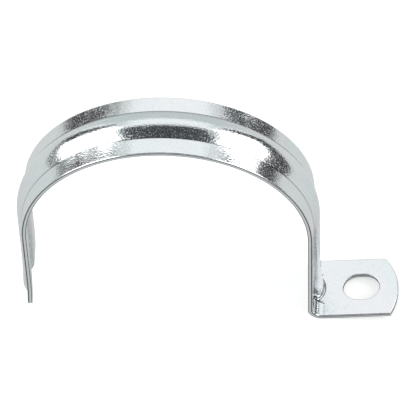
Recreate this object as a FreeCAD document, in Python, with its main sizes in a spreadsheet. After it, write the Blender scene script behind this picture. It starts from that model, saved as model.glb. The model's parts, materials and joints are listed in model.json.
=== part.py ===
"""One-hole conduit strap, pressed and folded from one strip of zinc-plated sheet steel.

The strap hooks over a conduit lying on a wall. A half-round arch ends in a free leg on one side
and, on the other, in a leg that is folded outwards into a slotted foot. A rounded stiffening rib
is pressed outwards along the middle of the arch and both legs, and its inner side is a groove of
the same form, because the sheet keeps its thickness. The rib ends in a blunt toe on the foot.

Frame: origin on the conduit's axis at the middle of the strap's width, +Y along the conduit,
+Z from the wall outwards, +X towards the foot. All sizes are in millimetres and degrees.
"""
import FreeCAD, Part

import math
import os

import Sketcher

NODE = "strap"
Vector = FreeCAD.Vector
START, END, CENTRE = 1, 2, 3
ORIGIN = (-1, START)
X_AXIS = -1

# Driving dimensions: alias, value, what it is.
SIZES = [
    ("seat_radius", 44.45, "inner radius of the arch, for trade size 3 conduit"),
    ("sheet", 1.5, "thickness of the steel"),
    ("strap_width", 21.8, "width of the strip along the conduit"),
    ("rib_height", 2.1, "crest of the rib above the flat bands"),
    ("rib_crest", 7.0, "outer radius of the rib's rounded top"),
    ("rib_root", 0.8, "outer radius where the rib leaves the band"),
    ("free_lean", 2.0, "degrees that the free leg leans in"),
    ("free_lean_drop", 25.5, "depth below the axis where the lean is taken back"),
    ("free_set_radius", 150.0, "radius that turns the free leg upright again"),
    ("free_drop", 39.2, "depth of the free leg's tip below the axis"),
    ("end_radius", 20.0, "radius of the rounded ends of the strip"),
    ("end_shift", 1.5, "how far both ends' arcs are off the strip's middle, towards -Y"),
    ("foot_drop", 40.3, "depth where the foot's top would meet the leg's face"),
    ("foot_lift", 6.0, "degrees that the foot rises outwards until it is screwed down"),
    ("foot_reach", 27.3, "leg's face to the foot's tip, along the foot"),
    ("fold_radius", 3.0, "inside radius of the fold between leg and foot"),
    ("slot_length", 11.6, "length of the screw slot, along the foot"),
    ("slot_width", 9.6, "width of the screw slot"),
    ("slot_reach", 15.4, "leg's face to the slot's centre, along the foot"),
    ("toe_start_drop", 27.0, "depth below the axis where the rib begins to swell"),
    ("toe_height", 3.6, "crest of the rib's toe above the band, just under the foot"),
    ("toe_crest", 4.8, "outer radius of the toe's rounded top"),
    ("overcut", 1.0, "how far a cut runs past the steel"),
]

# Formulas that several features share.
OUTER = "(sizes.seat_radius + sizes.sheet)"
HALF_WIDTH = "(sizes.strap_width / 2)"
LIFT = "(sizes.foot_lift * 1 deg)"
FOLD_X = f"({OUTER} + sizes.fold_radius)"
FOLD_DROP = f"(sizes.foot_drop - sizes.fold_radius * (tan({LIFT}) + 1 / cos({LIFT})))"
FOLD_OUTSIDE = "(sizes.fold_radius + sizes.sheet)"
FOLD_TURN = "(90 + sizes.foot_lift)"
FOOT_START = f"(sizes.fold_radius * (1 + sin({LIFT})) / cos({LIFT}))"
TOE_END_DROP = "(sizes.foot_drop + sizes.sheet + sizes.overcut)"
INNER_CREST = "(sizes.rib_crest - sizes.sheet)"
INNER_ROOT = "(sizes.rib_root + sizes.sheet)"
INNER_TOE_CREST = "(sizes.toe_crest - sizes.sheet)"


def make_sheet(doc):
    """The spreadsheet that holds the driving dimensions."""
    table = doc.addObject("Spreadsheet::Sheet", "sizes")
    for row, (alias, value, note) in enumerate(SIZES, start=1):
        table.set(f"A{row}", note)
        table.set(f"B{row}", str(value))
        table.setAlias(f"B{row}", alias)
    doc.recompute()


class Drawing:
    """A sketch on one of the body's origin planes, with its sizes bound to the spreadsheet."""

    def __init__(self, body, name, role, shift=None, tilt="0"):
        self.sketch = body.newObject("Sketcher::SketchObject", name)
        plane = next(f for f in body.Origin.OriginFeatures if f.Role == role)
        self.sketch.AttachmentSupport = (plane, [""])
        self.sketch.MapMode = "FlatFace"
        turned = FreeCAD.Rotation(Vector(0, 1, 0), 1)
        self.sketch.AttachmentOffset = FreeCAD.Placement(Vector(), turned)
        self.sketch.setExpression("AttachmentOffset.Rotation.Angle", tilt)
        for direction, formula in (shift or {}).items():
            self.sketch.setExpression(f"AttachmentOffset.Base.{direction}", formula)

    def value(self, formula):
        """What a formula on the spreadsheet comes to."""
        result = self.sketch.evalExpression(formula)
        return float(getattr(result, "Value", result))

    def line(self, a, b):
        """A straight edge from a to b."""
        return self.sketch.addGeometry(Part.LineSegment(Vector(*a, 0), Vector(*b, 0)))

    def arc(self, centre, radius, first, last):
        """An arc drawn anticlockwise from one angle to another, in degrees."""
        circle = Part.Circle(Vector(*centre, 0), Vector(0, 0, 1), radius)
        curve = Part.ArcOfCircle(circle, math.radians(first), math.radians(last))
        return self.sketch.addGeometry(curve)

    def tie(self, kind, *where):
        """A constraint without a size."""
        self.sketch.addConstraint(Sketcher.Constraint(kind, *where))

    def bind(self, kind, *where, to):
        """A constraint whose size follows a formula."""
        size = self.value(to)
        size = math.radians(size) if kind == "Angle" else size
        index = self.sketch.addConstraint(Sketcher.Constraint(kind, *where, size))
        self.sketch.setExpression(f"Constraints[{index}]", to)


def draw_spine(body):
    """The seat's line: up the foot leg, over the arch and down the free leg."""
    d = Drawing(body, "spine", "XZ_Plane")
    seat = d.value("sizes.seat_radius")
    lean = d.value("sizes.free_lean")
    lean_drop = d.value("sizes.free_lean_drop")
    set_radius = d.value("sizes.free_set_radius")
    tip_drop = d.value("sizes.free_drop + sizes.overcut")
    across, down = math.cos(math.radians(lean)), math.sin(math.radians(lean))
    arch_end = (-seat * across, -seat * down)
    lean_end = (arch_end[0] + (lean_drop - seat * down) * down / across, -lean_drop)
    set_centre = (lean_end[0] - set_radius * across, lean_end[1] - set_radius * down)
    upright_top = (set_centre[0] + set_radius, set_centre[1])
    leg = d.line((seat, -d.value(FOLD_DROP)), (seat, 0))
    arch = d.arc((0, 0), seat, 0, 180 + lean)
    leaning = d.line(arch_end, lean_end)
    settling = d.arc(set_centre, set_radius, 0, lean)
    upright = d.line(upright_top, (upright_top[0], -tip_drop))
    d.tie("Coincident", arch, CENTRE, *ORIGIN)
    d.tie("Tangent", leg, END, arch, START)
    d.tie("Tangent", arch, END, leaning, START)
    d.tie("Tangent", leaning, END, settling, END)
    d.tie("Tangent", settling, START, upright, START)
    d.tie("Vertical", leg)
    d.tie("Vertical", upright)
    d.bind("Radius", arch, to="sizes.seat_radius")
    d.bind("Radius", settling, to="sizes.free_set_radius")
    d.bind("Angle", arch, to="180 + sizes.free_lean")
    d.bind("DistanceY", leg, START, *ORIGIN, to=FOLD_DROP)
    d.bind("DistanceY", leaning, END, *ORIGIN, to="sizes.free_lean_drop")
    d.bind("DistanceY", upright, END, *ORIGIN, to="sizes.free_drop + sizes.overcut")
    return d.sketch


def draw_bead(d, base, height, crest, root):
    """The rib's outline on one side of the sheet: root arc, crest arc, root arc.

    The circles touch, so the half-width follows from the height: the line between two centres is
    root + crest long, and all of it but the height runs along X.
    """
    x, rise = d.value(base), d.value(height)
    top, low = d.value(crest), d.value(root)
    half = math.sqrt(rise * (2 * (top + low) - rise))
    slope = math.degrees(math.asin(half / (top + low)))
    near = d.arc((x + low, -half), low, 180 - slope, 180)
    cap = d.arc((x + rise - top, 0), top, -slope, slope)
    far = d.arc((x + low, half), low, 180, 180 + slope)
    d.tie("Tangent", near, START, cap, START)
    d.tie("Tangent", far, END, cap, END)
    d.tie("PointOnObject", cap, CENTRE, X_AXIS)
    d.bind("Radius", near, to=root)
    d.bind("Radius", far, to=root)
    d.bind("Radius", cap, to=crest)
    d.bind("DistanceX", *ORIGIN, near, CENTRE, to=f"{base} + {root}")
    d.bind("DistanceX", *ORIGIN, far, CENTRE, to=f"{base} + {root}")
    d.bind("DistanceX", *ORIGIN, cap, CENTRE, to=f"{base} + {height} - {crest}")
    return {"near": (near, END, (x, -half)), "far": (far, START, (x, half))}


def draw_hat(body):
    """Cross-section of the ribbed strip: two flat bands and the rib, one sheet thick."""
    d = Drawing(body, "hat_section", "XY_Plane", shift={"z": f"-{FOLD_DROP}"})
    outside = draw_bead(d, OUTER, "sizes.rib_height", "sizes.rib_crest", "sizes.rib_root")
    inside = draw_bead(d, "sizes.seat_radius", "sizes.rib_height", INNER_CREST, INNER_ROOT)
    for side, sign in (("near", -1), ("far", 1)):
        root_out, end_out, start = outside[side]
        root_in, end_in, finish = inside[side]
        edge = sign * d.value(HALF_WIDTH)
        band_out = d.line(start, (start[0], edge))
        cut_edge = d.line((start[0], edge), (finish[0], edge))
        band_in = d.line((finish[0], edge), finish)
        d.tie("Tangent", band_out, START, root_out, end_out)
        d.tie("Coincident", band_out, END, cut_edge, START)
        d.tie("Coincident", cut_edge, END, band_in, START)
        d.tie("Tangent", band_in, END, root_in, end_in)
        d.tie("Vertical", band_out)
        d.tie("Vertical", band_in)
        d.tie("Horizontal", cut_edge)
        edge_and_axis = (cut_edge, START, *ORIGIN) if sign < 0 else (*ORIGIN, cut_edge, START)
        d.bind("DistanceY", *edge_and_axis, to=HALF_WIDTH)
    return d.sketch


def draw_closed_bead(body, name, drop, base, back, height, crest, root):
    """A bead outline at some depth below the axis, closed by a straight back behind its base."""
    d = Drawing(body, name, "XY_Plane", shift={"z": f"-{drop}"})
    ends = draw_bead(d, base, height, crest, root)
    near, near_end, near_point = ends["near"]
    far, far_end, far_point = ends["far"]
    back_x = d.value(f"{base} - {back}")
    first = d.line(near_point, (back_x, near_point[1]))
    middle = d.line((back_x, near_point[1]), (back_x, far_point[1]))
    last = d.line((back_x, far_point[1]), far_point)
    d.tie("Coincident", near, near_end, first, START)
    d.tie("Coincident", first, END, middle, START)
    d.tie("Coincident", middle, END, last, START)
    d.tie("Coincident", last, END, far, far_end)
    d.tie("Horizontal", first)
    d.tie("Vertical", middle)
    d.tie("Horizontal", last)
    d.tie("Horizontal", near, near_end, near, CENTRE)
    d.tie("Horizontal", far, far_end, far, CENTRE)
    d.bind("DistanceX", *ORIGIN, middle, START, to=f"{base} - {back}")
    return d.sketch


def draw_fold_section(body):
    """The flat strip's section, seen from the fold's own axis."""
    d = Drawing(body, "fold_section", "XY_Plane", shift={"x": FOLD_X, "z": f"-{FOLD_DROP}"})
    inside, outside = -d.value("sizes.fold_radius"), -d.value(FOLD_OUTSIDE)
    half = d.value(HALF_WIDTH)
    corners = [(outside, -half), (inside, -half), (inside, half), (outside, half)]
    sides = [d.line(corners[i], corners[(i + 1) % 4]) for i in range(4)]
    for i in range(4):
        d.tie("Coincident", sides[i], END, sides[(i + 1) % 4], START)
    d.tie("Horizontal", sides[0])
    d.tie("Vertical", sides[1])
    d.tie("Horizontal", sides[2])
    d.tie("Symmetric", sides[3], START, sides[3], END, X_AXIS)
    d.bind("DistanceX", sides[0], START, *ORIGIN, to=FOLD_OUTSIDE)
    d.bind("DistanceX", sides[1], START, *ORIGIN, to="sizes.fold_radius")
    d.bind("DistanceY", sides[1], START, sides[1], END, to="sizes.strap_width")
    return d.sketch


def draw_foot(body):
    """The foot's plan with its rounded tip and the screw slot, measured from the leg's face."""
    shift = {"x": OUTER, "z": "-sizes.foot_drop"}
    d = Drawing(body, "foot_plan", "XY_Plane", shift=shift, tilt="-sizes.foot_lift")
    start, half = d.value(FOOT_START), d.value(HALF_WIDTH)
    radius, off = d.value("sizes.end_radius"), d.value("sizes.end_shift")
    centre = d.value("sizes.foot_reach") - radius
    swing_near, swing_far = math.asin((half - off) / radius), math.asin((half + off) / radius)
    corner_near = centre + radius * math.cos(swing_near)
    corner_far = centre + radius * math.cos(swing_far)
    near = d.line((start, -half), (corner_near, -half))
    first, last = -math.degrees(swing_near), math.degrees(swing_far)
    end = d.arc((centre, -off), radius, first, last)
    far = d.line((corner_far, half), (start, half))
    root = d.line((start, half), (start, -half))
    d.tie("Coincident", near, END, end, START)
    d.tie("Coincident", end, END, far, START)
    d.tie("Coincident", far, END, root, START)
    d.tie("Coincident", root, END, near, START)
    d.tie("Horizontal", near)
    d.tie("Horizontal", far)
    d.tie("Vertical", root)
    d.bind("Radius", end, to="sizes.end_radius")
    d.bind("DistanceX", *ORIGIN, end, CENTRE, to="sizes.foot_reach - sizes.end_radius")
    d.bind("DistanceY", end, CENTRE, *ORIGIN, to="sizes.end_shift")
    d.bind("DistanceX", *ORIGIN, near, START, to=FOOT_START)
    d.bind("DistanceY", near, START, *ORIGIN, to=HALF_WIDTH)
    d.bind("DistanceY", *ORIGIN, far, END, to=HALF_WIDTH)
    draw_slot(d)
    return d.sketch


def draw_slot(d):
    """A slot with half-round ends, along the foot."""
    middle, radius = d.value("sizes.slot_reach"), d.value("sizes.slot_width / 2")
    half_run = d.value("(sizes.slot_length - sizes.slot_width) / 2")
    inner = d.arc((middle - half_run, 0), radius, 90, 270)
    outer = d.arc((middle + half_run, 0), radius, -90, 90)
    near = d.line((middle - half_run, -radius), (middle + half_run, -radius))
    far = d.line((middle + half_run, radius), (middle - half_run, radius))
    d.tie("Tangent", inner, END, near, START)
    d.tie("Tangent", near, END, outer, START)
    d.tie("Tangent", outer, END, far, START)
    d.tie("Tangent", far, END, inner, START)
    d.tie("PointOnObject", inner, CENTRE, X_AXIS)
    d.tie("PointOnObject", outer, CENTRE, X_AXIS)
    d.bind("Radius", outer, to="sizes.slot_width / 2")
    d.bind("DistanceX", inner, CENTRE, outer, CENTRE, to="sizes.slot_length - sizes.slot_width")
    d.bind(
        "DistanceX",
        *ORIGIN,
        inner,
        CENTRE,
        to="sizes.slot_reach - (sizes.slot_length - sizes.slot_width) / 2",
    )


def draw_below_fold(body):
    """Everything outside the fold and under the foot, seen from the side."""
    d = Drawing(body, "below_fold", "XZ_Plane")
    axis = (d.value(FOLD_X), -d.value(FOLD_DROP))
    radius, turn = d.value(FOLD_OUTSIDE), d.value(FOLD_TURN)
    lift = math.radians(d.value("sizes.foot_lift"))
    run = d.value("sizes.foot_reach / 2")
    left, floor = axis[0] - radius, -d.value(f"{TOE_END_DROP} + sizes.overcut")
    fold_end = (axis[0] + radius * math.sin(lift), axis[1] - radius * math.cos(lift))
    foot_end = (fold_end[0] + run * math.cos(lift), fold_end[1] + run * math.sin(lift))
    fold = d.arc(axis, radius, 180, 180 + turn)
    foot = d.line(fold_end, foot_end)
    right = d.line(foot_end, (foot_end[0], floor))
    bottom = d.line((foot_end[0], floor), (left, floor))
    rise = d.line((left, floor), (left, axis[1]))
    d.tie("Tangent", fold, END, foot, START)
    d.tie("Coincident", foot, END, right, START)
    d.tie("Coincident", right, END, bottom, START)
    d.tie("Coincident", bottom, END, rise, START)
    d.tie("Tangent", rise, END, fold, START)
    d.tie("Vertical", right)
    d.tie("Horizontal", bottom)
    d.tie("Vertical", rise)
    d.bind("Radius", fold, to=FOLD_OUTSIDE)
    d.bind("Angle", fold, to=FOLD_TURN)
    d.bind("DistanceX", *ORIGIN, fold, CENTRE, to=FOLD_X)
    d.bind("DistanceY", fold, CENTRE, *ORIGIN, to=FOLD_DROP)
    d.bind("Distance", foot, to="sizes.foot_reach / 2")
    d.bind("DistanceY", bottom, END, *ORIGIN, to=f"{TOE_END_DROP} + sizes.overcut")
    return d.sketch


def draw_free_end(body):
    """What is cut away below the free leg's rounded end, seen along X."""
    d = Drawing(body, "free_end_plan", "YZ_Plane")
    radius, off = d.value("sizes.end_radius"), d.value("sizes.end_shift")
    reach = d.value(f"{HALF_WIDTH} + sizes.overcut")
    floor = -d.value("sizes.free_drop + 2 * sizes.overcut")
    centre = radius - d.value("sizes.free_drop")
    swing_near, swing_far = math.asin((reach - off) / radius), math.asin((reach + off) / radius)
    first, last = 270 - math.degrees(swing_near), 270 + math.degrees(swing_far)
    curve = d.arc((-off, centre), radius, first, last)
    right = d.line((reach, centre - radius * math.cos(swing_far)), (reach, floor))
    bottom = d.line((reach, floor), (-reach, floor))
    left = d.line((-reach, floor), (-reach, centre - radius * math.cos(swing_near)))
    d.tie("Coincident", curve, END, right, START)
    d.tie("Coincident", right, END, bottom, START)
    d.tie("Coincident", bottom, END, left, START)
    d.tie("Coincident", left, END, curve, START)
    d.tie("Vertical", right)
    d.tie("Horizontal", bottom)
    d.tie("Vertical", left)
    d.bind("Radius", curve, to="sizes.end_radius")
    d.bind("DistanceX", curve, CENTRE, *ORIGIN, to="sizes.end_shift")
    d.bind("DistanceY", curve, CENTRE, *ORIGIN, to="sizes.free_drop - sizes.end_radius")
    d.bind("DistanceX", *ORIGIN, right, START, to=f"{HALF_WIDTH} + sizes.overcut")
    d.bind("DistanceX", left, START, *ORIGIN, to=f"{HALF_WIDTH} + sizes.overcut")
    d.bind("DistanceY", bottom, START, *ORIGIN, to="sizes.free_drop + 2 * sizes.overcut")
    return d.sketch


def sweep_ribbed_strip(body):
    """The ribbed strip, from the top of the fold over the arch to the free end."""
    pipe = body.newObject("PartDesign::AdditivePipe", "ribbed_strip")
    pipe.Profile = draw_hat(body)
    spine = draw_spine(body)
    pipe.Spine = (spine, [f"Edge{i + 1}" for i in range(spine.GeometryCount)])
    return pipe


def turn_fold(body):
    """The fold, where the strip turns outwards by a little more than a right angle."""
    fold = body.newObject("PartDesign::Revolution", "fold")
    section = draw_fold_section(body)
    fold.Profile = section
    fold.ReferenceAxis = (section, ["V_Axis"])
    fold.Reversed = True
    fold.setExpression("Angle", FOLD_TURN)
    return fold


def pad_foot(body):
    """The foot, one sheet thick below its plan."""
    foot = body.newObject("PartDesign::Pad", "foot")
    foot.Profile = draw_foot(body)
    foot.Reversed = True
    foot.setExpression("Length", "sizes.sheet")
    return foot


def loft_bead(body, kind, name, base, back, crests, root):
    """A bead that swells from the rib's height to the toe's, added outside or cut inside."""
    loft = body.newObject(f"PartDesign::{kind}", name)
    depths = ("sizes.toe_start_drop", TOE_END_DROP)
    heights = ("sizes.rib_height", "sizes.toe_height")
    first, last = [
        draw_closed_bead(body, f"{name}_{end}", drop, base, back, height, crest, root)
        for end, drop, height, crest in zip(("start", "end"), depths, heights, crests)
    ]
    loft.Profile = first
    loft.Sections = [(last, [""])]
    loft.Ruled = True
    return loft


def raise_toe(body):
    """The rib's blunt toe, from inside the leg's sheet outwards."""
    back = "(sizes.sheet / 2)"
    crests = ("sizes.rib_crest", "sizes.toe_crest")
    return loft_bead(body, "AdditiveLoft", "toe", OUTER, back, crests, "sizes.rib_root")


def cut_toe_groove(body):
    """The toe's inner side, which carries the groove on through the fold."""
    seat, back = "sizes.seat_radius", "sizes.overcut"
    crests = (INNER_CREST, INNER_TOE_CREST)
    return loft_bead(body, "SubtractiveLoft", "toe_groove", seat, back, crests, INNER_ROOT)


def trim_below_fold(body):
    """Cuts the toe's walls flush with the outside of the fold and the foot's underside."""
    trim = body.newObject("PartDesign::Pocket", "toe_trim")
    trim.Profile = draw_below_fold(body)
    trim.SideType = "Symmetric"
    trim.setExpression("Length", "sizes.strap_width")
    return trim


def round_free_end(body):
    """Rounds the free leg's end with the same die as the foot's."""
    cut = body.newObject("PartDesign::Pocket", "free_end")
    cut.Profile = draw_free_end(body)
    cut.setExpression("Length", f"{OUTER} + sizes.rib_height + sizes.overcut")
    return cut


FEATURES = (
    sweep_ribbed_strip,
    turn_fold,
    pad_foot,
    raise_toe,
    cut_toe_groove,
    trim_below_fold,
    round_free_end,
)


def build_strap(doc):
    """The whole strap as one body, feature by feature, with its volume after each."""
    body = doc.addObject("PartDesign::Body", NODE)
    body.Label = NODE
    body.Placement = FreeCAD.Placement()
    volume = 0.0
    for make in FEATURES:
        feature = make(body)
        doc.recompute()
        change = feature.Shape.Volume - volume
        cuts = "Pocket" in feature.TypeId or "Subtractive" in feature.TypeId
        if cuts != (change < 0):
            raise RuntimeError(f"{feature.Name} changed the volume by {change:.3f} mm3")
        print(f"{feature.Name}: {change:+.2f} mm3")
        volume = feature.Shape.Volume
    return body


def check(doc, body):
    """Stops if a feature failed or the body isn't one sound solid."""
    for item in doc.Objects:
        if {"Invalid", "Error"} & set(item.State):
            raise RuntimeError(f"{item.Name} failed: {item.State}")
    shape = body.Shape
    if shape.isNull() or not shape.isValid() or len(shape.Solids) != 1:
        raise RuntimeError(f"{body.Label} isn't one valid solid")
    box = shape.optimalBoundingBox(False, False)
    size = f"{box.XLength:.2f} x {box.YLength:.2f} x {box.ZLength:.2f} mm"
    print(f"{body.Label}: {shape.Volume:.1f} mm3, {size}, z from {box.ZMin:.3f}")


def main():
    doc = FreeCAD.newDocument("conduit_strap")
    make_sheet(doc)
    strap = build_strap(doc)
    check(doc, strap)
    os.makedirs("parts", exist_ok=True)
    strap.Shape.exportStep(f"parts/{strap.Label}.step")


main()
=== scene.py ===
"""The looks of a one-hole conduit strap: its pressed zinc-plated sheet and a plain studio.

Laid out as an add-on. Everything is in metres, in the same frame as the model of the part: the
origin on the conduit's axis, +Y along the conduit, +Z outwards from the wall, +X to the foot.
"""

import functools
import json
import math

import bmesh
import bpy
import numpy as np
from mathutils import Matrix, Vector


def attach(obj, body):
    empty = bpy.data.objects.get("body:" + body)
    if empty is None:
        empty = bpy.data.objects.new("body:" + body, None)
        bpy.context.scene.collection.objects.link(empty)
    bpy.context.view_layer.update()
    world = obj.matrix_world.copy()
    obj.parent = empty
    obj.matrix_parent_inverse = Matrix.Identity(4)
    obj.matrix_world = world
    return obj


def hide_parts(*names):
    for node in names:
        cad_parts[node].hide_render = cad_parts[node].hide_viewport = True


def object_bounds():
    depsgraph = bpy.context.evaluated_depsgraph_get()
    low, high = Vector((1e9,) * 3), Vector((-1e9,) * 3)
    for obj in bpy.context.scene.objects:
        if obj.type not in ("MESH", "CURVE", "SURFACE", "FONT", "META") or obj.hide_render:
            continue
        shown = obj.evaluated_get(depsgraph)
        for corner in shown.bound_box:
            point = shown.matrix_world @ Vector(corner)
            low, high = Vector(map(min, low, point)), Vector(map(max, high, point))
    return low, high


bl_info = {
    "name": "Pressed conduit strap",
    "version": (1, 0, 0),
    "blender": (4, 5, 0),
    "location": "3D View > Sidebar > Strap",
    "description": "Builds the pressed sheet of a conduit strap with its zinc finish and a studio",
    "category": "Object",
}

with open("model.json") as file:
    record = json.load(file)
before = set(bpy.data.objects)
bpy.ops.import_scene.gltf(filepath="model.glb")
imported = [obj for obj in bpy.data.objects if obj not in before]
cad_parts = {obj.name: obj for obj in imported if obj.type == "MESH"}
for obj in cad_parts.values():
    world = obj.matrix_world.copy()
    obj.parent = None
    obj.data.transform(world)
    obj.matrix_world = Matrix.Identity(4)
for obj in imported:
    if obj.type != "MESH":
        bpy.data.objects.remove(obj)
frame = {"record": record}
CAD_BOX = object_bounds()
MOUNTS = {mount["name"]: mount for mount in frame["record"]["mounts"]}
SEAT = MOUNTS["conduit_seat"]["dims"]
SLOT = MOUNTS["screw_slot"]["dims"]
FOOT_AXIS = MOUNTS["foot_face"]["axis"]

NODE = "strap"
BODY = "root"
PLACE = "strip_place"
MM = 0.001

# The parts of half the section, from the middle outwards, and how many lines each has.
CREST, ROOT, BAND, CORNER = range(4)
LINE_COUNTS = {CREST: 14, ROOT: 7, BAND: 6, CORNER: 5}

# How many rows each stretch has with both its ends, or where they lie as shares of it.
UPRIGHT_STEPS = (1, 0.97, 0.9, 0.75, 0.5, 0.25, 0)
SET_ROWS = 5
LEAN_ROWS = 9
ARCH_ROWS = 147
LEG_ROWS = 11
TOE_ROWS = 25
FOLD_ROWS = 25
FLAT_ROWS = 6
TIP_STEPS = (*np.linspace(0, 1, 23)[1:-1], 0.98, 1.0)

# Where the rings of faces round the slot lie, as shares of the way from it to the loop.
RING_STEPS = (0, 0.04, 0.12, 0.3, 0.55, 0.8, 0.95, 1)

# Points on each rounded corner of the cut edge, and how near two points are merged.
CORNER_POINTS = 6
SAME_POINT = 0.001 * MM

# The cut edge between its two corners, as shares of the fracture's step and of the sheet: the
# burnished land down to the second point, then the torn part.
CUT_STEPS = ((0.0, 0.38), (0.0, 0.42), (0.35, 0.48), (0.8, 0.75))

# Where the look of the cut edge comes in, as shares of the rolled and of the inner corner.
ROLL_EASE = (0.5, 1.2)
BURR_EASE = (0.5, 1.5)

# Noise levels between which a film, or a rougher speck, goes from none to full.
COOL_LEVELS = (0.35, 0.65)
WARM_LEVELS = (0.5, 0.75)
SPECK_LEVELS = (0.52, 0.72)

# Scale of the grain along, across and through the strip; how far the roughness drifts, and
# over which length.
GRAIN_STRETCH = (0.6, 1.0, 1.0)
ROUGH_SPREAD = 0.08
ROUGH_SIZE = 4.0 * MM

# The painted shade lines: the level that each runs at and half its width, then how dark it is.
UPPER_CUT_LINE = (0.42 * MM, 0.18 * MM)
LOWER_CUT_LINE = (1.42 * MM, 0.13 * MM)
RIB_LINE = (5.2 * MM, 0.17 * MM)
TOE_LINE = (3.97 * MM, 0.19 * MM)
WRINKLE_LINE = (-5.2 * MM, 0.19 * MM)
LOWER_CUT_DARKNESS = 0.85
RIB_DARKNESS_ABOVE = 0.65
RIB_DARKNESS_GAIN = 0.3
TOE_DARKNESS = 0.92

# Where the painted shade lines fade, each from none to full, and how strongly the toe's two are
# bent, per metre.
RIB_LINE_DEEPENS = (5.0 * MM, -15.0 * MM)
RIB_LINE_ENDS = (49.5 * MM, 48.5 * MM)
TOE_LINE_ENDS = (5.3 * MM, 5.0 * MM)
WRINKLE_BEGINS = (0.3 * MM, 0.9 * MM)
WRINKLE_ENDS = (4.0 * MM, 3.4 * MM)
OUTER_FACE = (0.5 * MM, 0.2 * MM)
TOE_BEND = 80.0
WRINKLE_BEND = 55.0

# How far the painted shade lines waver, and over which length.
WAVER = 0.16 * MM
WAVER_SIZE = 0.6 * MM

# How soft a line's two sides are, as a share of half its width.
LINE_SOFTNESS = 0.6

# Sockets of a Mix node that is set to colours.
MIX_FACTOR, MIX_FIRST, MIX_SECOND, MIX_RESULT = 0, 6, 7, 2

WHITE = (1, 1, 1, 1)

# Half the floor's width, how far the camera sees, and its sensor's width in millimetres.
FLOOR_HALF = 4.0
VIEW_DEPTH = 50.0
SENSOR_WIDTH = 36.0

# Distances of the cards close to the strap. On the left each stands clear of the one before.
NEAR_CARD, LEFT_TURN_CARD, LEFT_RIM_CARD = 0.45, 0.46, 0.48


def length(name, default, description):
    """A length in metres."""
    return bpy.props.FloatProperty(
        name=name, default=default, description=description,
        subtype="DISTANCE", unit="LENGTH", precision=5, min=0.0,
    )


def angle(name, default, description):
    """An angle, given here in degrees."""
    return bpy.props.FloatProperty(
        name=name, default=math.radians(default), description=description,
        subtype="ANGLE", unit="ROTATION",
    )


def share(name, default, description, top=1.0):
    """A plain number from 0 up."""
    return bpy.props.FloatProperty(
        name=name, default=default, description=description, subtype="FACTOR", min=0.0, max=top,
    )


def colour(name, default, description):
    """A linear colour."""
    return bpy.props.FloatVectorProperty(
        name=name, default=default, description=description,
        subtype="COLOR", size=3, min=0.0, max=1.0,
    )


class StrapSizes(bpy.types.PropertyGroup):
    """Sizes of the pressed sheet."""

    seat_radius: length("Seat radius", SEAT["r_mm"] * MM, "Inner radius of the arch")
    width: length("Width", SEAT["length_mm"] * MM, "Width of the strip along the conduit")
    sheet: length("Sheet", 1.5 * MM, "Thickness of the steel")
    rib_height: length("Rib height", 2.1 * MM, "Crest of the rib above the bands")
    rib_crest: length("Rib crest radius", 7.0 * MM, "Outer radius of the rib's top")
    rib_root: length("Rib root radius", 0.8 * MM, "Outer radius where the rib leaves the band")
    dish: length("Dish", 0.30 * MM, "How far the bands are drawn up beside the rib")
    dish_reach: length("Dish reach", 4.0 * MM, "Distance over which that dies away")
    free_lean: angle("Free leg lean", 2.0, "How far the free leg leans in")
    free_lean_drop: length("Lean depth", 25.5 * MM, "Depth where the lean is taken back")
    free_set_radius: length("Set radius", 150.0 * MM, "Radius that turns the leg upright")
    free_drop: length("Free leg depth", 39.2 * MM, "Depth of the free leg's tip")
    end_radius: length("End radius", 20.0 * MM, "Radius of the strip's rounded ends")
    end_shift: length("End shift", 1.5 * MM, "How far both ends are cut off-centre")
    corner_radius: length("Corner radius", 0.5 * MM, "Rounding of the ends' corners")
    foot_drop: length("Foot depth", 40.3 * MM, "Depth of the foot's top at the leg's face")
    foot_lift: angle(
        "Foot lift", math.degrees(math.asin(FOOT_AXIS[0])), "Rise of the foot outwards",
    )
    foot_reach: length("Foot reach", 27.3 * MM, "Leg's face to the foot's tip")
    fold_radius: length("Fold radius", 3.0 * MM, "Inside radius of the fold")
    slot_length: length("Slot length", SLOT["slot_length_mm"] * MM, "Length of the screw slot")
    slot_width: length("Slot width", 2 * SLOT["hole_r_mm"] * MM, "Width of the screw slot")
    slot_reach: length("Slot reach", 15.4 * MM, "Leg's face to the slot's middle")
    toe_start: length("Toe start", 28.0 * MM, "Depth where the rib begins to swell")
    toe_end: length("Toe end", 40.0 * MM, "Depth where the rib is at its highest")
    toe_height: length("Toe height", 3.35 * MM, "Crest of the rib's toe above the band")
    toe_crest: length("Toe crest radius", 5.0 * MM, "Outer radius of the toe's top")
    toe_fullness: share("Toe fullness", 0.35, "How much the toe's flanks stand out of their arcs")
    toe_crease: length("Toe crease", 0.5 * MM, "Radius of the crease between toe and foot")
    ring_start: length("Flat start", 5.2 * MM, "Leg's face to where the foot is flat all over")
    roll: length("Rolled edge", 0.32 * MM, "Rounding that the punch leaves on the outer edges")
    burr: length("Inner edge", 0.15 * MM, "Rounding of the inner edges")
    fracture: length("Fracture", 0.06 * MM, "How far the torn part of the cut edge steps back")


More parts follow.
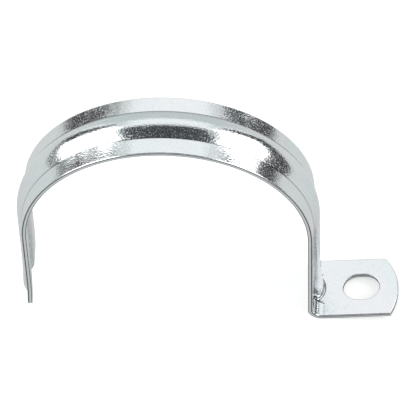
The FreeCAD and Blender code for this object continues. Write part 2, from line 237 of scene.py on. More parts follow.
class PlateFinish(bpy.types.PropertyGroup):
    """Look of the zinc plating."""

    plate: colour("Plate", (0.86, 0.88, 0.90), "Colour of the bright plating")
    cool: colour("Cool film", (0.78, 0.86, 0.87), "Blue-green film of the passivation")
    warm: colour("Warm film", (0.88, 0.84, 0.88), "Pink and straw film of the passivation")
    cut: colour("Cut edge", (0.72, 0.75, 0.76), "Thinly plated sheared edge")
    # Painted shade: the colour of dark lines that stand for the shade and dark reflections along
    # the cut edge's corners, in the rib's roots and in the toe's crease
    painted_shade: colour("Dark lines", (0.08, 0.08, 0.09), "Lines along the cut edge, rib and toe")
    cool_size: length("Cool film size", 22.0 * MM, "Size of the blue-green film's patches")
    cool_share: share("Cool film share", 0.7, "Strength of the blue-green film")
    warm_size: length("Warm film size", 35.0 * MM, "Size of the pink film's patches")
    warm_share: share("Warm film share", 0.6, "Strength of the pink film")
    roughness: share("Roughness", 0.14, "Roughness of the plated faces")
    cut_roughness: share("Cut roughness", 0.12, "Added roughness of the sheared edge")
    speck: length("Speck", 0.42 * MM, "Size of the rougher specks")
    speck_roughness: share("Speck roughness", 0.22, "Added roughness of the specks")
    grain: length("Grain", 0.46 * MM, "Size of the plating's grain")
    grain_depth: length("Grain depth", 0.028 * MM, "Height of the grain")
    ripple: length("Ripple", 9.0 * MM, "Size of the sheet's slow ripple")
    ripple_depth: length("Ripple depth", 0.012 * MM, "Height of the ripple")


class StudioSetup(bpy.types.PropertyGroup):
    """The camera and the light."""

    azimuth: angle("Azimuth", 3.01, "Camera's turn about the vertical")
    elevation: angle("Elevation", 54.15, "Camera's height above the horizon")
    roll: angle("Roll", 1.09, "Camera's turn about its own axis")
    distance: length("Distance", 2.509, "Camera to the conduit's axis")
    aim_right: length("Aim right", 12.56 * MM, "Picture's centre to the right of the axis")
    aim_up: length("Aim up", 1.11 * MM, "Picture's centre above the axis")
    lens: bpy.props.FloatProperty(
        name="Lens", default=686.1, description="Focal length in millimetres, for a 36 mm sensor",
        min=1.0, max=5000.0,
    )
    floor: colour("Floor", (0.61, 0.62, 0.615), "Colour of the floor")
    floor_roughness: share("Floor roughness", 0.9, "Roughness of the floor")
    floor_glow: share("Floor glow", 0.55, "Brightness beside the lamps' light, to the camera")
    floor_mirrored: share("Mirrored glow", 0.05, "The same as the metal sees it")
    sky: share("Sky", 0.55, "Strength of the soft light from all round", top=10.0)
    box: share("Softbox", 1.5, "Brightness of the softboxes", top=50.0)
    far: length("Studio size", 1.2, "Distance of the softboxes and flags")
    flag: colour("Flag", (0.05, 0.052, 0.055), "Colour of the dark flags")
    back: colour("Back flag", (0.60, 0.64, 0.63), "Colour of the flag behind")
    low: colour("Low flag", (0.2, 0.2, 0.2), "Colour of the low flag on the left")
    stripe: colour("Top stripe", (0.35, 0.35, 0.35), "Colour over the left stripe flag")
    rim: colour("High rims", (0.72, 0.72, 0.72), "Colour of the high cards at both sides")
    turn_rim: colour("Turn rim", (0.42, 0.42, 0.42), "Colour of the card beside the left turn")
    top_rim: colour("Top rim", (0.6, 0.6, 0.6), "Colour round the flag overhead")


def stations():
    """Where the strip's lines lie across it: which part of the section each is in, and how far.

    From the middle outwards each side has the rib's crest arc, its root arc, the flat band and
    the rounded corner of the strip's ends. The share runs from 0 to 1 over each part.
    """
    part = np.concatenate([np.full(count, kind) for kind, count in LINE_COUNTS.items()])
    place = np.concatenate([np.linspace(0, 1, count + 1)[1:] for count in LINE_COUNTS.values()])
    side = np.concatenate([-np.ones(len(part)), [1.0], np.ones(len(part))])
    part = np.concatenate([part[::-1], [CREST], part])
    place = np.concatenate([place[::-1], [0.0], place])
    return part, place, side


def corner_place(s, shift):
    """Where a rounded corner sits inside an end's arc, for arcs centred off the middle by shift.

    The corner's centre lies its own radius inside the strip's side, and its distance from the
    arc's centre is the arc's radius less its own. Gives the centre's place across the strip,
    the angle on the arc where the corner begins, and the centre's distance behind the tip.
    """
    middle = s.width / 2 - s.corner_radius
    within = s.end_radius - s.corner_radius
    begins = np.arcsin((middle + shift) / within)
    return middle, begins, s.end_radius - within * np.cos(begins)


def section(s, height, inset):
    """Place across the strip and height above the band of every line, for rows of rib heights.

    The rib is a crest arc between two root arcs that touch it and the band. With both radii
    known, the height gives the slope where they meet: its cosine is one less the height over
    the radii together. Crest points swing by a share of that slope about the crest's centre,
    root points about the root's. The crest's radius shrinks as the rib swells into its toe, and
    its flanks fill out: each rise, as a share of the whole height, is raised to a power that
    falls below one with the swelling.
    Pressing the rib draws the bands up a little beside it, less and less with the distance.
    """
    part, place, side = stations()
    swell = (height - s.rib_height) / (s.toe_height - s.rib_height)
    crest = s.rib_crest + (s.toe_crest - s.rib_crest) * swell
    slope = np.arccos(1 - height / (crest + s.rib_root))
    half = (crest + s.rib_root) * np.sin(slope)
    corner_middle, corner_from, _ = corner_place(s, 0.0)
    band_end = (s.end_radius - inset) * math.sin(corner_from)
    swing = corner_from + place * (math.pi / 2 - corner_from)
    across = np.select(
        [part == CREST, part == ROOT, part == BAND],
        [
            crest * np.sin(place * slope),
            half - s.rib_root * np.sin((1 - place) * slope),
            half + place * (band_end - half),
        ],
        corner_middle + (s.corner_radius - inset) * np.sin(swing),
    )
    rise = np.select(
        [part == CREST, part == ROOT],
        [
            height - crest * (1 - np.cos(place * slope)),
            s.rib_root * (1 - np.cos((1 - place) * slope)),
        ],
        0.0,
    )
    rise = height * (rise / height) ** (1 - s.toe_fullness * swell)
    drawn = s.dish * np.exp(-np.maximum(across - half, 0) / s.dish_reach)
    return side * across, rise + np.where(across < half, s.dish * (1 - rise / height), drawn)


def setback(s, across, inset):
    """How far an end lies behind its tip: along the end's arc, then round the corner.

    The arc is centred off the strip's middle by the end's shift, towards the near side, so a
    far line lies further from its middle by that much and a near line less.
    """
    off = across + s.end_shift
    corner_middle, begins, behind = corner_place(s, np.sign(across) * s.end_shift)
    arc = s.end_radius - np.sqrt((s.end_radius - inset) ** 2 - off**2)
    in_corner = np.abs(off) > (s.end_radius - inset) * np.sin(begins)
    out = np.clip(np.abs(across) - corner_middle, 0, s.corner_radius - inset)
    corner = behind - np.sqrt((s.corner_radius - inset) ** 2 - out**2)
    return np.where(in_corner, corner, arc)


def rows(x, y, z, along):
    """Points of a stretch as rows x lines x (x, y, z, distance along the strip)."""
    return np.stack(np.broadcast_arrays(x, y, z, along), axis=-1)


def plain_section(s, count, inset):
    """The section with the rib at its usual height, for some rows."""
    return section(s, np.full((count, 1), s.rib_height), inset)


def free_leg(s, inset):
    """The free leg: upright from its rounded end, a gentle bend, then leaning out to the arch."""
    lean = s.free_lean
    arch_x, arch_z = -s.seat_radius * math.cos(lean), -s.seat_radius * math.sin(lean)
    lean_x = arch_x + (s.free_lean_drop + arch_z) * math.tan(lean)
    bend_x = lean_x - s.free_set_radius * math.cos(lean)
    bend_z = -s.free_lean_drop - s.free_set_radius * math.sin(lean)
    upright = np.array(UPRIGHT_STEPS)[:, None]
    across, rise = plain_section(s, len(upright), inset)
    tip = -s.free_drop + setback(s, across[0], inset)
    z = bend_z + upright * (tip - bend_z)
    legs = [rows(bend_x + s.free_set_radius - s.sheet - rise, across, z, z + s.free_drop)]
    turn = np.linspace(0, lean, SET_ROWS)[1:, None]
    across, rise = plain_section(s, len(turn), inset)
    radius = s.free_set_radius - s.sheet - rise
    along = s.free_drop + bend_z + s.free_set_radius * turn
    x, z = bend_x + radius * np.cos(turn), bend_z + radius * np.sin(turn)
    legs.append(rows(x, across, z, along))
    share_up = np.linspace(0, 1, LEAN_ROWS)[1:-1, None]
    across, rise = plain_section(s, len(share_up), inset)
    x = lean_x + (arch_x - lean_x) * share_up - (s.sheet + rise) * math.cos(lean)
    z = -s.free_lean_drop + (arch_z + s.free_lean_drop) * share_up
    legs.append(rows(x, across, z - (s.sheet + rise) * math.sin(lean), z + s.free_drop))
    return np.concatenate(legs)


def arch(s, inset):
    """The half circle and a little more, turned about the conduit's axis."""
    turn = np.linspace(math.pi + s.free_lean, 0, ARCH_ROWS)[:, None]
    across, rise = plain_section(s, len(turn), inset)
    radius = s.seat_radius + s.sheet + rise
    along = s.free_drop + (math.pi - turn) * s.seat_radius
    return rows(radius * np.cos(turn), across, radius * np.sin(turn), along)


def arch_end(s):
    """Distance along the strip where the arch meets the foot's leg."""
    return s.free_drop + math.pi * s.seat_radius


def crease(s, rise):
    """How each line turns from the leg into the foot: crease centre, fold centre, angle between.

    A line on a band follows the fold's arc. A line on the toe stands off from the leg, turns
    through a tight crease that touches its wall and the fold's arc, and then follows the arc.
    Where the toe reaches past the fold, the crease touches the foot itself.
    """
    face = s.seat_radius + s.sheet
    tan_lift, cos_lift = math.tan(s.foot_lift), math.cos(s.foot_lift)
    centre = (face + s.fold_radius, -s.foot_drop + s.fold_radius * (tan_lift + 1 / cos_lift))
    reach = s.fold_radius - s.toe_crease
    gap = reach - rise
    drop = np.sqrt(np.maximum(reach**2 - gap**2, 0))
    turn = np.arctan2(-drop, -gap) % (2 * math.pi)
    foot_turn = 1.5 * math.pi + s.foot_lift
    x = face + rise + s.toe_crease
    on_foot = -s.foot_drop + (x - face) * tan_lift + s.toe_crease / cos_lift
    z = np.where(turn >= foot_turn, on_foot, centre[1] - drop)
    return (x, z), centre, np.minimum(turn, foot_turn), foot_turn


def foot_leg(s, inset):
    """The foot's leg: straight down from the arch, then down the swelling toe to its crease."""
    face = s.seat_radius + s.sheet
    down = np.linspace(0, 1, LEG_ROWS)[1:-1, None]
    across, rise = plain_section(s, len(down), inset)
    plain = rows(face + rise, across, -s.toe_start * down, arch_end(s) + s.toe_start * down)
    _, rise = section(s, np.full((1, 1), s.toe_height), inset)
    bottom = crease(s, rise)[0][1]
    down = np.linspace(0, 1, TOE_ROWS)[:, None]
    z = -s.toe_start + down * (bottom + s.toe_start)
    part_down = np.clip((-z - s.toe_start) / (s.toe_end - s.toe_start), 0, 1)
    eased = part_down**2 * (3 - 2 * part_down)
    height = s.rib_height + (s.toe_height - s.rib_height) * eased
    across, rise = section(s, height, inset)
    return np.concatenate([plain, rows(face + rise, across, z, arch_end(s) - z)])


def fold(s, leg_end):
    """The turn into the foot, by equal angles on every line, as the crease's rule says."""
    face = s.seat_radius + s.sheet
    across, z_start = leg_end[None, :, 1], leg_end[None, :, 2]
    (crease_x, crease_z), centre, turn, foot_turn = crease(s, leg_end[None, :, 0] - face)
    angles = np.linspace(math.pi, foot_turn, FOLD_ROWS)[1:, None]
    tight = angles <= turn
    radius = np.where(tight, s.toe_crease, s.fold_radius)
    x = np.where(tight, crease_x, centre[0]) + radius * np.cos(angles)
    z = np.where(tight, crease_z, centre[1]) + radius * np.sin(angles)
    reach = (x[-1:] - face) / math.cos(s.foot_lift)
    from_leg = arch_end(s) - z_start
    part_turned = (angles - math.pi) / (foot_turn - math.pi)
    return rows(x, across, z, from_leg + part_turned * (foot_along(s, reach) - from_leg))


def foot_along(s, reach):
    """Distance along the strip of a place on the foot, given as its reach from the leg's face."""
    tan_lift, cos_lift = math.tan(s.foot_lift), math.cos(s.foot_lift)
    fold_drop = s.foot_drop - s.fold_radius * (tan_lift + 1 / cos_lift)
    arc = s.fold_radius * (math.pi / 2 + s.foot_lift)
    start = s.fold_radius * (1 + math.sin(s.foot_lift)) / cos_lift
    return arch_end(s) + fold_drop + arc - start + reach


def on_foot(s, reach, across):
    """Points on the foot's top face."""
    x = s.seat_radius + s.sheet + reach * math.cos(s.foot_lift)
    z = -s.foot_drop + reach * math.sin(s.foot_lift)
    return rows(x, across, z, foot_along(s, reach))


def foot(s, fold_end, inset):
    """The flat foot: rows out to where the slot's ring of faces begins, then to the tip's arc."""
    across = fold_end[None, :, 1]
    start = (fold_end[None, :, 0] - s.seat_radius - s.sheet) / math.cos(s.foot_lift)
    near = start + np.linspace(0, 1, FLAT_ROWS)[1:, None] * (s.ring_start - start)
    tip = s.foot_reach - setback(s, across, inset)
    far = s.ring_start + np.array(TIP_STEPS)[:, None] * (tip - s.ring_start)
    return on_foot(s, near, across), on_foot(s, far, across)


def outer_face(s, inset):
    """The strip's outer face, inset from its cut edges, and the row where the ring begins."""
    leg = foot_leg(s, inset)
    turned = fold(s, leg[-1])
    near, far = foot(s, turned[-1], inset)
    strip = [free_leg(s, inset), arch(s, inset), leg, turned, near]
    ring_row = sum(len(part) for part in strip) - 1
    return np.concatenate([*strip, far]), ring_row


def normals(points):
    """Unit normals of a grid of points, from the slopes along its rows and its lines."""
    across = np.gradient(points[..., :3], axis=1)
    along = np.gradient(points[..., :3], axis=0)
    cross = np.cross(along, across)
    return cross / np.linalg.norm(cross, axis=-1, keepdims=True)


def below(points, normal, depth):
    """Points moved under the outer face by a depth, with that depth as a fifth value."""
    moved = points.copy()
    moved[..., :3] -= depth * normal
    depths = np.full(points.shape[:-1] + (1,), depth)
    return np.concatenate([moved, depths], axis=-1)


def edge_profile(s):
    """The cut edge's section as (inset, depth) pairs.

    The rolled corner is a quarter circle. The burnished land and the torn part below it are
    straight runs, and the inner corner is a quarter circle that ends on the inner face.
    """
    quarter = np.linspace(0, math.pi / 2, CORNER_POINTS)
    rolled = np.stack([s.roll * (1 - np.sin(quarter)), s.roll * (1 - np.cos(quarter))], axis=1)
    land = np.array(CUT_STEPS) * [s.fracture, s.sheet]
    inner = s.sheet - s.burr
    last = np.stack([s.burr * (1 - np.cos(quarter)), inner + s.burr * np.sin(quarter)], axis=1)
    shift = np.array([s.fracture, 0.0]) * np.cos(quarter[:, None])
    return np.concatenate([rolled, land, last + shift])


def outline(grid):
    """The four sides of a grid as one closed loop."""
    return np.concatenate([grid[:-1, 0], grid[-1, :-1], grid[:0:-1, -1], grid[0, :0:-1]])


def ring_loop(grid, first_row):
    """The loop round the foot's flat part, where the faces round the slot end."""
    return outline(grid[first_row:])


def slot_loop(s, around, grow):
    """For each point of a loop on the foot, the nearest point of the slot's outline.

    The outline is a run of points half a slot's width from the slot's middle line, which is as
    long as the slot is longer than wide.
    """
    reach = around[:, 3] - foot_along(s, 0.0) - s.slot_reach
    half_line = (s.slot_length - s.slot_width) / 2
    from_line = np.stack([reach - np.clip(reach, -half_line, half_line), around[:, 1]], axis=1)
    out = from_line / np.linalg.norm(from_line, axis=1, keepdims=True)
    radius = s.slot_width / 2 + grow
    place = np.clip(reach, -half_line, half_line) + radius * out[:, 0] + s.slot_reach
    return on_foot(s, place, radius * out[:, 1])


def slot_face(s, around, inset):
    """Faces between the slot and the loop round it, closer together beside both."""
    hole = slot_loop(s, around, inset)
    return hole + np.array(RING_STEPS)[:, None, None] * (around - hole)


def closed(loops):
    """Loops with their first point again at the end."""
    return np.concatenate([loops, loops[:, :1]], axis=1)


def strap_patches(s):
    """The sheet as grids that share borders: both faces, the cut edge and the slot's wall."""
    profile = edge_profile(s)
    patches = []
    for inset, depth in (profile[0], profile[-1]):
        face, ring_row = outer_face(s, inset)
        normal = normals(face)
        hole_face = slot_face(s, ring_loop(face, ring_row), inset)
        flat_normal = np.broadcast_to(normal[-1, 0], hole_face.shape[:-1] + (3,))
        strip = below(face[: ring_row + 1], normal[: ring_row + 1], depth)
        patches += [strip, closed(below(hole_face, flat_normal, depth))]
    rim, wall = [], []
    for inset, depth in profile:
        face, ring_row = outer_face(s, inset)
        edge = below(face, normals(face), depth)
        rim.append(outline(edge))
        hole = slot_loop(s, ring_loop(face, ring_row), inset)
        wall.append(below(hole, normals(face)[-1, 0], depth))
    patches += [closed(np.stack(rim)), closed(np.stack(wall))]
    return patches


def patch_faces(shape, first):
    """Quads of a grid of points, numbered row by row from first."""
    index = first + np.arange(shape[0] * shape[1]).reshape(shape[:2])
    corners = (index[:-1, :-1], index[:-1, 1:], index[1:, 1:], index[1:, :-1])
    return np.stack(corners, axis=-1).reshape(-1, 4)


def mesh_of(name, patches):
    """One closed, smooth mesh of several patches.

    Its attribute gives each point's place on the strip as (along, across, depth).
    """
    points = np.concatenate([patch.reshape(-1, 5) for patch in patches])
    starts = np.cumsum([0] + [patch.shape[0] * patch.shape[1] for patch in patches])
    quads = np.concatenate([patch_faces(p.shape, first) for p, first in zip(patches, starts)])
    mesh = bpy.data.meshes.new(name)
    mesh.from_pydata(points[:, :3], [], quads)
    place = np.stack([points[:, 3], points[:, 1], points[:, 4]], axis=1)
    attribute = mesh.attributes.new(PLACE, "FLOAT_VECTOR", "POINT")
    attribute.data.foreach_set("vector", place.astype(np.float32).ravel())
    work = bmesh.new()
    work.from_mesh(mesh)
    bmesh.ops.remove_doubles(work, verts=work.verts, dist=SAME_POINT)
    bmesh.ops.recalc_face_normals(work, faces=work.faces)
    work.to_mesh(mesh)
    work.free()
    mesh.shade_smooth()
    return mesh


class Nodes:
    """A small hand for laying out shader nodes."""

    def __init__(self, tree):
        self.tree = tree
        tree.nodes.clear()

    def add(self, kind, inputs=None, **settings):
        """A node with its settings, and its inputs given as values or as other nodes' outputs."""
        node = self.tree.nodes.new(kind)
        for name, value in settings.items():
            setattr(node, name, value)
        self.fill(node, inputs or {})
        return node

    def fill(self, node, inputs):
        """Sets a node's inputs, by name or by number, to values or to other nodes' outputs."""
        for name, value in inputs.items():
            if isinstance(value, bpy.types.NodeSocket):
                self.tree.links.new(value, node.inputs[name])
            else:
                node.inputs[name].default_value = value

    def show(self, shader, kind="ShaderNodeOutputMaterial"):
        """Sends a shader's result to the tree's output."""
        self.tree.links.new(shader.outputs[0], self.add(kind).inputs["Surface"])

    def math(self, operation, *values):
        """A Math node's result."""
        return self.add("ShaderNodeMath", dict(enumerate(values)), operation=operation).outputs[0]

    def chain(self, operation, values):
        """The result of an operation on several values, worked from the first to the last."""
        return functools.reduce(functools.partial(self.math, operation), values)

    def times(self, *values):
        """The product of several values."""
        return self.chain("MULTIPLY", values)

    def plus(self, *values):
        """The sum of several values."""
        return self.chain("ADD", values)

    def most(self, *values):
        """The largest of several values."""
        return self.chain("MAXIMUM", values)

    def mix(self, factor, first, second):
        """A colour between two."""
        node = self.add("ShaderNodeMix", data_type="RGBA")
        self.fill(node, {MIX_FACTOR: factor, MIX_FIRST: first, MIX_SECOND: second})
        return node.outputs[MIX_RESULT]

    def noise(self, vector, size, detail=2.0, roughness=0.5):
        """Noise from 0 to 1 with features of a size in metres."""
        inputs = {"Vector": vector, "Scale": 1 / size, "Detail": detail, "Roughness": roughness}
        return self.add("ShaderNodeTexNoise", inputs).outputs["Fac"]

    def ramp(self, value, low, high):
        """A value spread so that low becomes 0 and high becomes 1, eased at both."""
        inputs = {"Value": value, "From Min": low, "From Max": high}
        node = self.add("ShaderNodeMapRange", inputs, interpolation_type="SMOOTHSTEP")
        return node.outputs["Result"]

    def line(self, value, middle, half_width):
        """1 where a value is near a level, eased to a half at half_width from it and then to 0."""
        off = self.math("ABSOLUTE", self.math("SUBTRACT", value, middle))
        clear, full = (1 + LINE_SOFTNESS) * half_width, (1 - LINE_SOFTNESS) * half_width
        return self.ramp(off, clear, full)

    def bump(self, height, distance, normal=None):
        """A normal tilted by a height map."""
        inputs = {"Height": height, "Distance": distance, "Strength": 1.0}
        if normal is not None:
            inputs["Normal"] = normal
        return self.add("ShaderNodeBump", inputs).outputs["Normal"]


def rgba(values):
    """A colour with full alpha."""
    return (*values, 1.0)


def new_material(name):
    """A material and a hand for its empty node tree."""
    material = bpy.data.materials.new(name)
    material.use_nodes = True
    return material, Nodes(material.node_tree)


def film_tint(n, where, finish):
    """The plating's colour under two films, each laid on in soft patches of its own size."""
    cool = n.ramp(n.noise(where, finish.cool_size, detail=2.0), *COOL_LEVELS)
    warm = n.ramp(n.noise(where, finish.warm_size, detail=3.0, roughness=0.6), *WARM_LEVELS)
    tint = n.mix(n.times(cool, finish.cool_share), rgba(finish.plate), rgba(finish.cool))
    return n.mix(n.times(warm, finish.warm_share), tint, rgba(finish.warm))


def cut_share(n, depth, sizes):
    """1 on the sheared edge and 0 on both faces, eased over the rolled and the inner corner."""
    past_roll = n.ramp(depth, *(sizes.roll * np.array(ROLL_EASE)))
    above_burr = n.ramp(depth, *(sizes.sheet - sizes.burr * np.array(BURR_EASE)))
    return n.times(past_roll, above_burr)


def painted_cut_shade(n, depth, waver):
    """Two lines of painted shade along the cut edge, one beside each corner, that waver about a
    depth.
    """
    level = n.plus(depth, waver)
    lower = n.times(n.line(level, *LOWER_CUT_LINE), LOWER_CUT_DARKNESS)
    return n.most(n.line(level, *UPPER_CUT_LINE), lower)


def painted_rib_shade(n, across, spot, waver):
    """Thin lines of painted shade in the crease where the rib leaves the bands, at an even
    distance off the middle.

    Their darkness is one share above and gains another down the legs. They end at the fold.
    """
    line = n.line(n.plus(n.math("ABSOLUTE", across), waver), *RIB_LINE)
    gain = n.times(n.ramp(spot["Z"], *RIB_LINE_DEEPENS), RIB_DARKNESS_GAIN)
    return n.times(line, n.plus(RIB_DARKNESS_ABOVE, gain), n.ramp(spot["X"], *RIB_LINE_ENDS))


def painted_toe_shade(n, across, reach, depth, waver):
    """Painted shade in the crease round the toe, and a painted shade line for a short wrinkle
    beside it, both on the foot.

    The crease runs where the reach from the leg's face, plus the bend times the square of the
    place across, is one length. The wrinkle runs where the place across, plus its bend times the
    square of the reach, is one length, and only over a part of the reach.
    """
    toe = n.line(n.plus(reach, n.times(across, across, TOE_BEND), waver), *TOE_LINE)
    toe = n.times(toe, n.ramp(n.math("ABSOLUTE", across), *TOE_LINE_ENDS))
    wrinkle = n.line(n.plus(across, n.times(reach, reach, WRINKLE_BEND), waver), *WRINKLE_LINE)
    wrinkle = n.times(wrinkle, n.ramp(reach, *WRINKLE_BEGINS), n.ramp(reach, *WRINKLE_ENDS))
    return n.times(n.most(toe, wrinkle), n.ramp(depth, *OUTER_FACE), TOE_DARKNESS)


def plate_normal(n, place, where, finish):
    """The faces' normal under two waves: the slow ripple, and the grain drawn out along."""
    drawn_out = n.add(
        "ShaderNodeVectorMath", {0: place, 1: GRAIN_STRETCH}, operation="MULTIPLY"
    ).outputs["Vector"]
    ripple = n.bump(n.noise(where, finish.ripple, detail=2.0), finish.ripple_depth)
    return n.bump(n.noise(drawn_out, finish.grain, detail=0.0), finish.grain_depth, ripple)


def plate_roughness(n, where, cut, finish):
    """An even roughness that drifts about its value, with rougher specks and a duller cut edge."""
    drift = n.times(n.noise(where, ROUGH_SIZE, detail=3.0), ROUGH_SPREAD)
    specks = n.ramp(n.noise(where, finish.speck, detail=1.0, roughness=0.6), *SPECK_LEVELS)
    return n.plus(
        drift, finish.roughness - ROUGH_SPREAD / 2,
        n.times(specks, finish.speck_roughness), n.times(cut, finish.cut_roughness),
    )


def plate_material(finish, sizes):
    """Bright zinc plating: faint films, grain and ripples, painted shade lines and duller cut
    edges.
    """
    material, n = new_material("zinc_plating")
    place = n.add("ShaderNodeAttribute", attribute_name=PLACE).outputs["Vector"]
    where = n.add("ShaderNodeTexCoord").outputs["Object"]
    strip = n.add("ShaderNodeSeparateXYZ", {"Vector": place}).outputs
    spot = n.add("ShaderNodeSeparateXYZ", {"Vector": where}).outputs
    across, depth = strip["Y"], strip["Z"]
    reach = n.math("SUBTRACT", spot["X"], sizes.seat_radius + sizes.sheet)
    cut = cut_share(n, depth, sizes)
    waver = n.times(n.noise(place, WAVER_SIZE, detail=3.0, roughness=0.7), WAVER)
    half_waver = n.times(waver, 0.5)
    # Painted shade: dark lines along the cut edge's corners, the rib's roots and the toe's crease
    lines = n.most(
        painted_cut_shade(n, depth, waver),
        painted_rib_shade(n, across, spot, half_waver),
        painted_toe_shade(n, across, reach, depth, half_waver),
    )
    tint = n.mix(cut, film_tint(n, where, finish), rgba(finish.cut))
    n.show(n.add("ShaderNodeBsdfPrincipled", {
        "Base Color": n.mix(lines, tint, rgba(finish.painted_shade)),
        "Metallic": 1.0,
        "Roughness": plate_roughness(n, where, cut, finish),
        "Normal": plate_normal(n, place, where, finish),
    }))
    return material


class STRAP_OT_build(bpy.types.Operator):
    """Builds the pressed sheet of the strap and gives it its zinc plating"""

    bl_idname = "strap.build"
    bl_label = "Pressed Strap"

    def execute(self, context):
        sizes = context.scene.strap_sizes
        mesh = mesh_of("pressed_strap", strap_patches(sizes))
        mesh.materials.append(plate_material(context.scene.plate_finish, sizes))
        piece = bpy.data.objects.new("pressed_strap", mesh)
        context.scene.collection.objects.link(piece)
        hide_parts(NODE)
        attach(piece, BODY)
        return {"FINISHED"}


def stage_sheet(name, corners, material):
    """A flat sheet of the stage with its four corners and a material."""
    mesh = bpy.data.meshes.new(name)
    mesh.from_pydata(corners, [], [(0, 1, 2, 3)])
    mesh.materials.append(material)
    thing = bpy.data.objects.new(name, mesh)
    bpy.context.scene.collection.objects.link(thing)
    return thing


def only_in_reflections(thing):
    """Hides a stage piece from everything but reflections."""
    thing.visible_camera = False
    thing.visible_diffuse = False
    thing.visible_transmission = False
    thing.visible_volume_scatter = False
    thing.visible_shadow = False


def card(name, tone, centre, right, up):
    """A flat card that the metal mirrors: a centre and two half sides, in one even tone."""
    centre, right, up = (np.array(v, float) for v in (centre, right, up))
    corners = [centre - right - up, centre + right - up, centre + right + up, centre - right + up]
    material, n = new_material(name)
    n.show(n.add("ShaderNodeEmission", {"Color": rgba(tone), "Strength": 1.0}))
    only_in_reflections(stage_sheet(name, np.array(corners), material))


def wall_card(name, tone, x, along, up):
    """An upright card facing the strap from the side, its ends given as shares of its distance."""
    size = abs(x)
    centre = (x, size * sum(along) / 2, size * sum(up) / 2)
    half_along = size * (along[1] - along[0]) / 2
    half_up = size * (up[1] - up[0]) / 2
    card(name, tone, centre, (0.0, half_along, 0.0), (0.0, 0.0, half_up))


def softbox(name, centre, target, size, brightness):
    """A rectangular lamp that faces a target; its radiance is its power over pi times its area."""
    lamp = bpy.data.lights.new(name, "AREA")
    lamp.shape = "RECTANGLE"
    lamp.size, lamp.size_y = size
    lamp.energy = brightness * math.pi * size[0] * size[1]
    thing = bpy.data.objects.new(name, lamp)
    bpy.context.scene.collection.objects.link(thing)
    thing.location = centre
    thing.rotation_euler = (Vector(target) - Vector(centre)).to_track_quat("-Z", "Y").to_euler()
    thing.visible_camera = False


def make_world(studio):
    """White behind the strap and in its reflections, softer as light."""
    world = bpy.data.worlds.new("studio")
    bpy.context.scene.world = world
    world.use_nodes = True
    n = Nodes(world.node_tree)
    path = n.add("ShaderNodeLightPath").outputs
    seen = n.most(path["Is Camera Ray"], path["Is Glossy Ray"], path["Is Transmission Ray"])
    strength = n.plus(studio.sky, n.times(seen, 1.0 - studio.sky))
    sky = n.add("ShaderNodeBackground", {"Color": WHITE, "Strength": strength})
    n.show(sky, "ShaderNodeOutputWorld")


def make_floor(studio, height):
    """A pale floor that looks white to the camera and keeps the strap's shadow."""
    material, n = new_material("pale_floor")
    path = n.add("ShaderNodeLightPath").outputs
    direct = n.most(path["Is Camera Ray"], path["Is Transmission Ray"])
    mirrored = n.times(path["Is Glossy Ray"], studio.floor_mirrored)
    n.show(n.add("ShaderNodeBsdfPrincipled", {
        "Base Color": rgba(studio.floor), "Roughness": studio.floor_roughness,
        "Specular IOR Level": 0.0, "Emission Color": WHITE,
        "Emission Strength": n.most(n.times(direct, studio.floor_glow), mirrored),
    }))
    half = FLOOR_HALF
    corners = [(-half, -half, height), (half, -half, height), (half, half, height),
               (-half, half, height)]
    stage_sheet("floor", corners, material)


def make_camera(studio):
    """The camera: turned and raised round the conduit's axis, shifted sideways, then rolled."""
    cos_e, sin_e = math.cos(studio.elevation), math.sin(studio.elevation)
    cos_a, sin_a = math.cos(studio.azimuth), math.sin(studio.azimuth)
    back = Vector((sin_a * cos_e, -cos_a * cos_e, sin_e))
    right = Vector((cos_a, sin_a, 0.0))
    up = back.cross(right)
    roll = Matrix.Rotation(-studio.roll, 3, back)
    right, up = roll @ right, roll @ up
    place = studio.distance * back + studio.aim_right * right + studio.aim_up * up
    turn = Matrix((right, up, back)).transposed().to_4x4()
    camera = bpy.data.objects.new("camera", bpy.data.cameras.new("camera"))
    bpy.context.scene.collection.objects.link(camera)
    camera.matrix_world = Matrix.Translation(place) @ turn
    camera.data.lens = studio.lens
    camera.data.sensor_width = SENSOR_WIDTH
    camera.data.clip_end = VIEW_DEPTH
    bpy.context.scene.camera = camera


def make_softboxes(studio):
    """Two large lamps that face each other over the strap, a little towards the near side."""
    far = studio.far
    near, height, size = -0.29 * far, 0.9 * far, (2.2 * far, 1.6 * far)
    for side, name in ((-1, "left"), (1, "right")):
        centre, target = (side * far, near, height), (0.0, near, height)
        softbox(f"{name}_softbox", centre, target, size, studio.box)


def make_side_cards(studio):
    """The upright cards at both sides: far ones, then near ones for the low parts of the legs."""
    far, flag = studio.far, studio.flag
    wall_card("left_stripe_flag", flag, -far, along=(0.76, 1.18), up=(0.08, 0.85))
    wall_card("left_top_stripe", studio.stripe, -far, along=(0.80, 1.4), up=(0.85, 1.2))
    wall_card("right_stripe_flag", flag, far, along=(0.80, 1.28), up=(0.02, 1.08))
    wall_card("right_stripe_foot", flag, far, along=(0.74, 0.82), up=(0.02, 0.56))
    wall_card("right_high_rim", studio.rim, far, along=(0.76, 1.6), up=(1.08, 1.75))
    wall_card("left_high_rim", studio.rim, -far, along=(0.72, 1.6), up=(1.2, 1.75))
    wall_card("left_turn_rim", studio.turn_rim, -LEFT_RIM_CARD, along=(0.56, 0.73), up=(0.0, 0.78))
    wall_card("right_low_flag", flag, NEAR_CARD, along=(-0.58, 0.55), up=(-0.03, 0.36))
    wall_card("right_turn_flag", flag, NEAR_CARD, along=(0.55, 0.90), up=(0.01, 0.39))
    wall_card("left_low_flag", studio.low, -NEAR_CARD, along=(-0.47, 0.78), up=(-0.01, 0.19))
    wall_card("left_turn_flag", flag, -LEFT_TURN_CARD, along=(0.52, 1.0), up=(-0.02, 0.44))


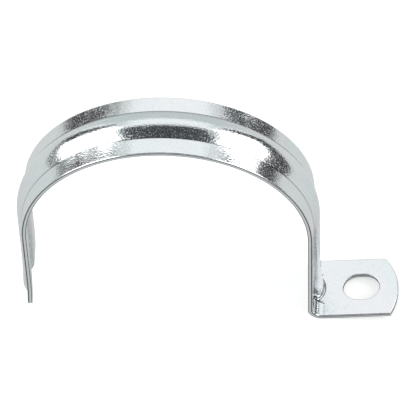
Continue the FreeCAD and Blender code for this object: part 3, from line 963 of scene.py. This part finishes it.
def make_far_cards(studio):
    """The flag overhead, which is a square and a leaning side, its rim, and the flag behind."""
    far = studio.far
    flag_y, flag_half = -0.465 * far, 0.735 * far
    card("top_flag", studio.flag, centre=(-0.075 * far, flag_y, far),
         right=(0.575 * far, 0.0, 0.0), up=(0.0, flag_half, 0.0))
    card("top_flag_side", studio.flag, centre=(0.40 * far, flag_y, far),
         right=(0.25 * far, 0.0, 0.0), up=(-0.18 * far, flag_half, 0.0))
    card("top_rim", studio.top_rim, centre=(0.0, -0.40 * far, 1.01 * far),
         right=(0.75 * far, 0.0, 0.0), up=(0.0, 0.80 * far, 0.0))
    card("back_flag", studio.back, centre=(0.0, 1.45 * far, 0.50 * far),
         right=(0.95 * far, 0.0, 0.0), up=(0.0, 0.0, 0.62 * far))


class STRAP_OT_stage(bpy.types.Operator):
    """Sets up the floor, the softboxes, the cards and the camera"""

    bl_idname = "strap.stage"
    bl_label = "Studio"

    def execute(self, context):
        studio = context.scene.studio_setup
        make_world(studio)
        make_floor(studio, CAD_BOX[0].z)
        make_camera(studio)
        make_softboxes(studio)
        make_side_cards(studio)
        make_far_cards(studio)
        context.scene.view_settings.view_transform = "Standard"
        return {"FINISHED"}


class STRAP_PT_panel(bpy.types.Panel):
    """Lists the strap's operators in the sidebar"""

    bl_label = "Strap"
    bl_idname = "STRAP_PT_panel"
    bl_space_type = "VIEW_3D"
    bl_region_type = "UI"
    bl_category = "Strap"

    def draw(self, context):
        for operator in (STRAP_OT_build, STRAP_OT_stage):
            self.layout.operator(operator.bl_idname)


CLASSES = (StrapSizes, PlateFinish, StudioSetup, STRAP_OT_build, STRAP_OT_stage, STRAP_PT_panel)


def register():
    """Registers the classes and hangs their values on the scene."""
    for item in CLASSES:
        bpy.utils.register_class(item)
    bpy.types.Scene.strap_sizes = bpy.props.PointerProperty(type=StrapSizes)
    bpy.types.Scene.plate_finish = bpy.props.PointerProperty(type=PlateFinish)
    bpy.types.Scene.studio_setup = bpy.props.PointerProperty(type=StudioSetup)


def unregister():
    """Takes it all back."""
    del bpy.types.Scene.studio_setup
    del bpy.types.Scene.plate_finish
    del bpy.types.Scene.strap_sizes
    for item in reversed(CLASSES):
        bpy.utils.unregister_class(item)


def main():
    """Builds the strap and its stage."""
    register()
    bpy.ops.strap.build()
    bpy.ops.strap.stage()


if __name__ == "__main__":
    main()
